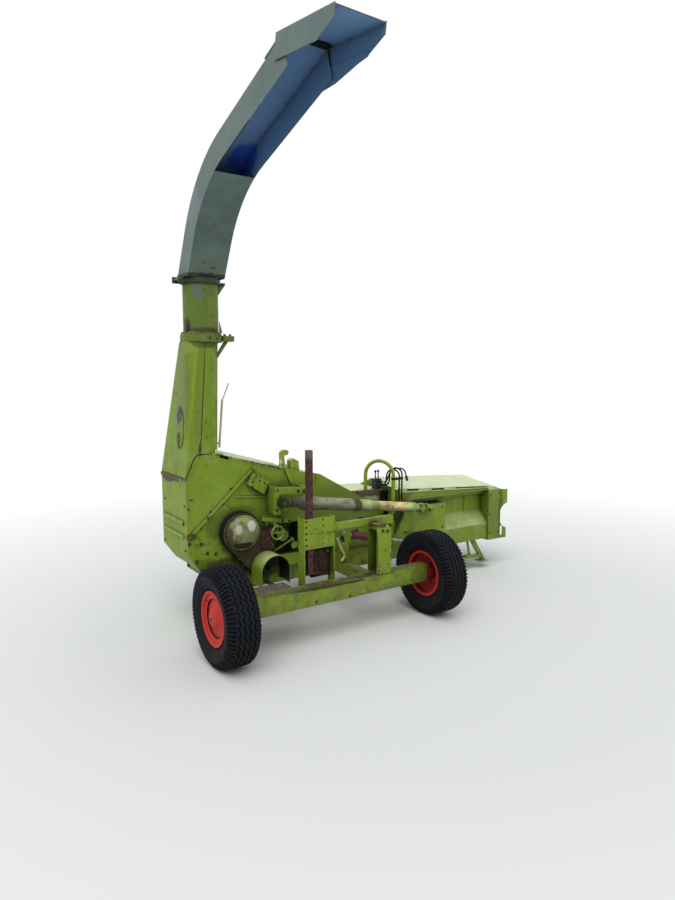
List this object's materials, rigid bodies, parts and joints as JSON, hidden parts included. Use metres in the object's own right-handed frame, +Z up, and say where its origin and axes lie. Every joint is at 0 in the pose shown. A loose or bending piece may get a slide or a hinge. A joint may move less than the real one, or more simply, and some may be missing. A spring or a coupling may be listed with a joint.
{
  "type": "forage harvester",
  "caption": "Trailed side-header forage harvester with a folded sheet tower, a curved turning spout, two wheels, a lifting pick-up header and a swinging drawbar.",
  "frame": {"origin": "centre of the bounding box's bottom, on the ground the wheels stand on", "axes": "+Z up, +Y to the machine's front where the drawbar and the input stub point, +X to its right where the header is"},
  "size_m": [3.967, 3.6243, 4.2073],
  "materials": {
    "lime_paint": "semi-gloss, weathered",
    "spout_paint": "matt, weathered",
    "pale_paint": "matt, faded",
    "red_paint": "semi-gloss",
    "tyre_rubber": "matt",
    "rusty_steel": "rusted",
    "bare_steel": "satin",
    "cast_case": "dirty",
    "black_parts": "matt",
    "guard_plastic": "matt"
  },
  "bodies": {
    "chassis": {"axle_beam": "lime_paint", "frame_rails": "lime_paint", "holed_bracket": "lime_paint", "bracket_block": "rusty_steel", "right_post": "lime_paint", "lift_bracket": "lime_paint", "step_plate": "rusty_steel", "chopper_housing": "lime_paint", "housing_ribs": "lime_paint", "tower": "lime_paint", "tower_hatch": "lime_paint", "turntable_ring": "lime_paint", "hub_dome": "pale_paint", "gear_case": "cast_case", "shaft_hood": "lime_paint", "feed_gearbox": "lime_paint", "feed_channel": "lime_paint", "channel_lid": "pale_paint", "hose_hoop": "lime_paint", "valve_levers": "black_parts", "turning_rod": "pale_paint", "hinge_box": "lime_paint", "front_hinge_arm": "lime_paint", "pto_guard": "guard_plastic"},
    "post": {"parking_post": "rusty_steel"},
    "left_wheel": {"left_tyre": "tyre_rubber", "left_rim": "red_paint"},
    "right_wheel": {"right_tyre": "tyre_rubber", "right_rim": "red_paint"},
    "cross_shaft_body": {"cross_shaft": "pale_paint"},
    "neck": {"spout_neck": "spout_paint"},
    "spout": {"spout_duct": "spout_paint"},
    "flap": {"end_flap": "spout_paint"},
    "header": {"header_frame": "lime_paint", "header_deck": "pale_paint", "end_case": "lime_paint", "header_stand": "lime_paint"},
    "auger_rotor": {"auger": "rusty_steel"},
    "reel_rotor": {"reel": "lime_paint"},
    "lift_cylinder": {"lift_barrel": "red_paint"},
    "lift_piston": {"lift_rod": "bare_steel"},
    "drawbar_body": {"drawbar": "lime_paint"},
    "jack": {"jack_leg": "bare_steel"},
    "input_stub": {"pto_stub": "bare_steel"}
  },
  "joints": [
    {"name": "left_wheel_spin", "type": "hinge", "parent": "chassis", "child": "left_wheel", "pos_m": [-1.8515, -0.39743, 0.38], "axis": [-1, 0, 0], "continuous": true},
    {"name": "right_wheel_spin", "type": "hinge", "parent": "chassis", "child": "right_wheel", "pos_m": [0.1985, -0.39743, 0.38], "axis": [-1, 0, 0], "continuous": true},
    {"name": "spout_turn", "type": "hinge", "parent": "chassis", "child": "neck", "pos_m": [-1.6415, 0.44757, 2.51], "axis": [0, 0, 1], "range_deg": [-100, 100]},
    {"name": "spout_fold", "type": "hinge", "parent": "neck", "child": "spout", "pos_m": [-1.8365, 0.44757, 2.956], "axis": [0, -1, 0], "range_deg": [0, 110]},
    {"name": "flap_tilt", "type": "hinge", "parent": "spout", "child": "flap", "pos_m": [-1.6415, -1.24265, 4.17025], "axis": [1, 0, 0], "range_deg": [-10, 40]},
    {"name": "header_lift", "type": "hinge", "parent": "chassis", "child": "header", "pos_m": [0.4735, 0.30257, 0.866], "axis": [0, -1, 0], "range_deg": [-2.5, 12]},
    {"name": "lift_cylinder_tilt", "type": "hinge", "parent": "chassis", "child": "lift_cylinder", "pos_m": [-0.3965, 0.12257, 0.705], "axis": [0, -1, 0], "range_deg": [-2, 4]},
    {"name": "lift_rod_slide", "type": "slide", "parent": "lift_cylinder", "child": "lift_piston", "axis": [0.9741, 0, -0.226], "range_m": [-0.04, 0.09]},
    {"name": "auger_spin", "type": "hinge", "parent": "header", "child": "auger_rotor", "pos_m": [1.0285, 0.63257, 0.65], "axis": [1, 0, 0], "continuous": true},
    {"name": "reel_spin", "type": "hinge", "parent": "header", "child": "reel_rotor", "pos_m": [1.0285, 1.04257, 0.5], "axis": [1, 0, 0], "continuous": true},
    {"name": "cross_shaft_spin", "type": "hinge", "parent": "chassis", "child": "cross_shaft_body", "pos_m": [-0.8865, 0.10257, 1.06], "axis": [0.99, 0, -0.1412], "continuous": true},
    {"name": "input_spin", "type": "hinge", "parent": "chassis", "child": "input_stub", "pos_m": [-1.4015, 0.93257, 0.838], "axis": [0, 1, 0], "continuous": true},
    {"name": "drawbar_swing", "type": "hinge", "parent": "chassis", "child": "drawbar_body", "pos_m": [-0.9865, 1.18257, 0.4], "axis": [0, 0, 1], "range_deg": [-12, 12]},
    {"name": "jack_slide", "type": "slide", "parent": "drawbar_body", "child": "jack", "axis": [0, 0, 1], "range_m": [0, 0.22]},
    {"name": "parking_post_slide", "type": "slide", "parent": "chassis", "child": "post", "axis": [0, 0, 1], "range_m": [-0.4, 0]}
  ],
  "couplings": [
    {"joint": "lift_cylinder_tilt", "follows": "header_lift", "ratio": 0.2021},
    {"joint": "lift_rod_slide", "follows": "header_lift", "m_per_rad": 0.33984}
  ]
}
